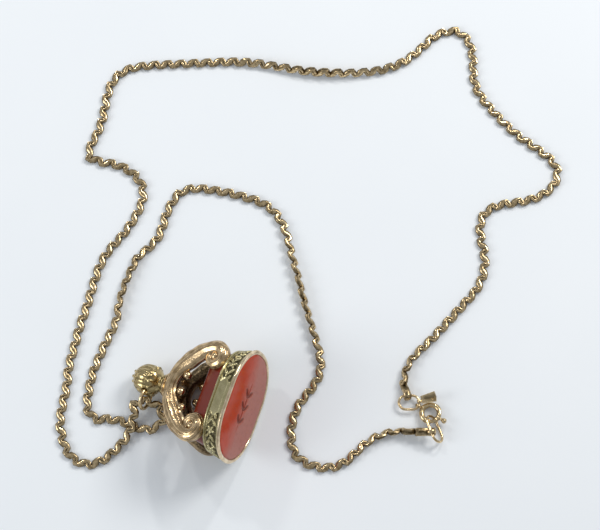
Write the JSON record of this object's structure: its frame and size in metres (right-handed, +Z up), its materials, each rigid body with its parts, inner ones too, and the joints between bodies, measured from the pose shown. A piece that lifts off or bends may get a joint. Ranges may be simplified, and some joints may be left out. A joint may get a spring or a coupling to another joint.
{
  "type": "gold necklace",
  "caption": "Long gold chain of flat S-shaped links with a spring ring clasp, carrying a gold fob seal with an orange-red engraved stone, lying down",
  "frame": {"origin": "under the middle of the whole lying necklace, on the surface it lies on", "axes": "+X along the lying necklace's longest extent, +Y away from the viewer of the picture, +Z up from the surface"},
  "size_m": [0.1259, 0.1151, 0.0225],
  "materials": {
    "carnelian": "polished translucent orange-red stone",
    "chased_gold": "chased and matted greenish gold with polished high parts",
    "chain_gold": "worn polished gold, darker in its hollows",
    "ring_gold": "polished gold wire",
    "clasp_gold": "polished gold with fine wear"
  },
  "bodies": {
    "necklace": {"carnelian_stone": "carnelian", "seal_setting": "chased_gold", "handle_knob": "chased_gold", "pendant_ring": "ring_gold", "chain_long": "chain_gold", "chain_short": "chain_gold", "spring_ring": "clasp_gold", "jump_ring_long": "ring_gold", "jump_ring_short": "ring_gold", "clasp_tag": "clasp_gold"},
    "bolt": {"clasp_bolt": "clasp_gold"}
  },
  "joints": [
    {"name": "clasp_lever", "type": "hinge", "parent": "necklace", "child": "bolt", "pos_m": [0.0285, -0.0432, 0.00107], "axis": [-0.0706, 0.1586, 0.9848], "range_deg": [0, 40], "stiffness_Nm_per_rad": 0.0002}
  ]
}
